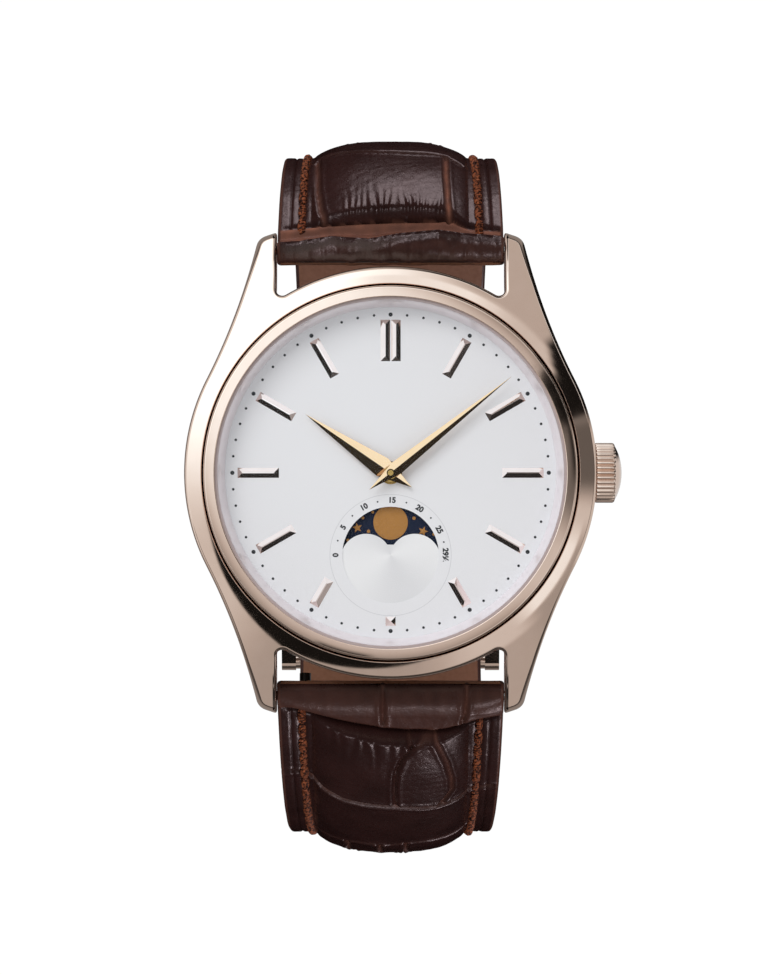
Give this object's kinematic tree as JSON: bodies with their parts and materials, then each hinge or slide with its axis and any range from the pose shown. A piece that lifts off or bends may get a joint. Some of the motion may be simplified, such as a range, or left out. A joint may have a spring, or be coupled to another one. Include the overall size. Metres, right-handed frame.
{
  "type": "moon phase watch",
  "caption": "Round dress wristwatch with a moon phase window, baton markers, two hands and a padded leather strap buckled into a loop.",
  "frame": {"origin": "centre of the case back's outer face, on the hands' axis", "axes": "+Z out of the dial, +Y to 12 o'clock, +X to the crown at 3 o'clock"},
  "size_m": [0.0381, 0.0659, 0.0535],
  "materials": {
    "rose_gold": "polished rose gold plating on steel",
    "steel": "satin steel",
    "crystal": "clear sapphire",
    "gasket": "matt",
    "holder_plastic": "moulded",
    "dial_white": "fine silvery white lacquer",
    "marker_gold": "faceted and polished",
    "hand_gold": "faceted and polished",
    "moon_blue": "dark blue with printed moons and stars",
    "movement_brass": "plain machined",
    "circuit_board": "solder mask",
    "coil_copper": "wound copper",
    "strap_leather": "dark brown embossed calf, semi-gloss",
    "lining_leather": "plain calf, matt"
  },
  "bodies": {
    "head": {"case_middle": "rose_gold", "bezel": "rose_gold", "crystal": "crystal", "crystal_gasket": "gasket", "rehaut_ring": "rose_gold", "case_back": "steel", "case_back_gasket": "gasket", "crown_tube": "steel", "movement_holder": "holder_plastic", "dial": "dial_white", "hour_markers": "marker_gold", "dial_washer": "movement_brass", "moon_post": "movement_brass", "moon_jumper": "steel", "main_plate": "movement_brass", "train_bridge": "steel", "circuit_board": "circuit_board", "quartz_can": "steel", "coil": "coil_copper", "stator": "steel", "battery": "steel", "battery_clamp": "steel", "movement_screws": "steel", "yoke_spring": "steel"},
    "minute_arbor": {"center_wheel": "movement_brass", "cannon_pinion": "steel", "minute_hand": "hand_gold"},
    "hour_arbor": {"hour_wheel": "movement_brass", "hour_hand": "hand_gold"},
    "minute_wheel": {"minute_wheel": "movement_brass"},
    "setting_wheel": {"setting_wheel": "steel"},
    "day_wheel": {"day_wheel": "movement_brass"},
    "moon_disc": {"moon_disc": "moon_blue"},
    "third_wheel": {"third_wheel": "movement_brass"},
    "fifth_wheel": {"fifth_wheel": "holder_plastic"},
    "rotor": {"rotor": "steel"},
    "clutch": {"clutch_pinion": "steel"},
    "crown": {"crown": "rose_gold", "crown_gasket": "gasket", "stem": "steel"},
    "setting_lever": {"setting_lever": "steel"},
    "long_strap": {"long_strap_upper": "strap_leather", "long_strap_lining": "lining_leather", "long_bar_tube": "steel", "long_bar_pin": "steel", "long_bar_spring": "steel"},
    "short_strap": {"short_strap_upper": "strap_leather", "short_strap_lining": "lining_leather", "short_bar_tube": "steel", "short_bar_pin": "steel", "short_bar_spring": "steel", "fixed_keeper": "strap_leather", "buckle_bar": "steel"},
    "long_release": {"long_release_pin": "steel"},
    "short_release": {"short_release_pin": "steel"},
    "buckle_frame": {"buckle_frame": "rose_gold"},
    "buckle_tongue": {"buckle_tongue": "rose_gold"},
    "free_keeper": {"free_keeper": "strap_leather"}
  },
  "joints": [
    {"name": "minute_hand_turn", "type": "hinge", "parent": "head", "child": "minute_arbor", "pos_m": [0, 0, 0.0039], "axis": [0, 0, -1], "continuous": true},
    {"name": "hour_hand_turn", "type": "hinge", "parent": "head", "child": "hour_arbor", "pos_m": [0, 0, 0.0039], "axis": [0, 0, -1], "continuous": true},
    {"name": "minute_wheel_turn", "type": "hinge", "parent": "head", "child": "minute_wheel", "pos_m": [0.00312, 0, 0.0039], "axis": [0, 0, -1], "continuous": true},
    {"name": "setting_wheel_turn", "type": "hinge", "parent": "head", "child": "setting_wheel", "pos_m": [0.00676, 0, 0.0039], "axis": [0, 0, -1], "continuous": true},
    {"name": "day_wheel_turn", "type": "hinge", "parent": "head", "child": "day_wheel", "pos_m": [-0.00352, -0.00128, 0.0039], "axis": [0, 0, -1], "continuous": true},
    {"name": "moon_disc_turn", "type": "hinge", "parent": "head", "child": "moon_disc", "pos_m": [0, -0.00715, 0.0039], "axis": [0, 0, -1], "continuous": true},
    {"name": "third_wheel_turn", "type": "hinge", "parent": "head", "child": "third_wheel", "pos_m": [-0.0017, 0.00294, 0.0039], "axis": [0, 0, -1], "continuous": true},
    {"name": "fifth_wheel_turn", "type": "hinge", "parent": "head", "child": "fifth_wheel", "pos_m": [-0.00405, 0.0038, 0.0039], "axis": [0, 0, -1], "continuous": true},
    {"name": "rotor_turn", "type": "hinge", "parent": "head", "child": "rotor", "pos_m": [-0.00593, 0.00312, 0.0039], "axis": [0, 0, -1], "continuous": true},
    {"name": "crown_turn", "type": "hinge", "parent": "head", "child": "clutch", "pos_m": [0.0093, 0, 0.0032], "axis": [1, 0, 0], "continuous": true},
    {"name": "crown_pull", "type": "slide", "parent": "clutch", "child": "crown", "axis": [1, 0, 0], "range_m": [0, 0.0016]},
    {"name": "setting_lever_swing", "type": "hinge", "parent": "head", "child": "setting_lever", "pos_m": [0.0113, -0.0026, 0.0029], "axis": [0, 0, -1], "range_deg": [0, 41]},
    {"name": "long_strap_swing", "type": "hinge", "parent": "head", "child": "long_strap", "pos_m": [0, -0.01955, 0.002], "axis": [-1, 0, 0], "range_deg": [0, 80], "deforming": ["long_strap_upper", "long_strap_lining"]},
    {"name": "short_strap_swing", "type": "hinge", "parent": "head", "child": "short_strap", "pos_m": [0, 0.01955, 0.002], "axis": [1, 0, 0], "range_deg": [0, 80], "deforming": ["short_strap_upper", "short_strap_lining"]},
    {"name": "buckle_frame_swing", "type": "hinge", "parent": "short_strap", "child": "buckle_frame", "pos_m": [0, -0.0075, -0.03997], "axis": [1, 0, 0], "range_deg": [0, 55]},
    {"name": "buckle_tongue_swing", "type": "hinge", "parent": "buckle_frame", "child": "buckle_tongue", "pos_m": [0, -0.0075, -0.03997], "axis": [1, 0, 0], "range_deg": [0, 30]},
    {"name": "free_keeper_slide", "type": "slide", "parent": "short_strap", "child": "free_keeper", "axis": [0, 1, 0], "range_m": [-0.0016, 0.001]},
    {"name": "long_release_slide", "type": "slide", "parent": "long_strap", "child": "long_release", "axis": [1, 0, 0], "range_m": [0, 0.0012], "stiffness_N_per_m": 150, "springref_m": -0.001},
    {"name": "short_release_slide", "type": "slide", "parent": "short_strap", "child": "short_release", "axis": [1, 0, 0], "range_m": [0, 0.0012], "stiffness_N_per_m": 150, "springref_m": -0.001}
  ],
  "couplings": [
    {"joint": "hour_hand_turn", "follows": "minute_hand_turn", "ratio": 0.083333},
    {"joint": "minute_wheel_turn", "follows": "minute_hand_turn", "ratio": -0.33333},
    {"joint": "setting_wheel_turn", "follows": "minute_hand_turn", "ratio": 0.6},
    {"joint": "day_wheel_turn", "follows": "minute_hand_turn", "ratio": -0.041667},
    {"joint": "moon_disc_turn", "follows": "minute_hand_turn", "ratio": 0.00070621},
    {"joint": "third_wheel_turn", "follows": "minute_hand_turn", "ratio": -7.5},
    {"joint": "fifth_wheel_turn", "follows": "minute_hand_turn", "ratio": 30},
    {"joint": "rotor_turn", "follows": "minute_hand_turn", "ratio": -90},
    {"joint": "setting_lever_swing", "follows": "crown_pull", "rad_per_m": 444.4}
  ]
}
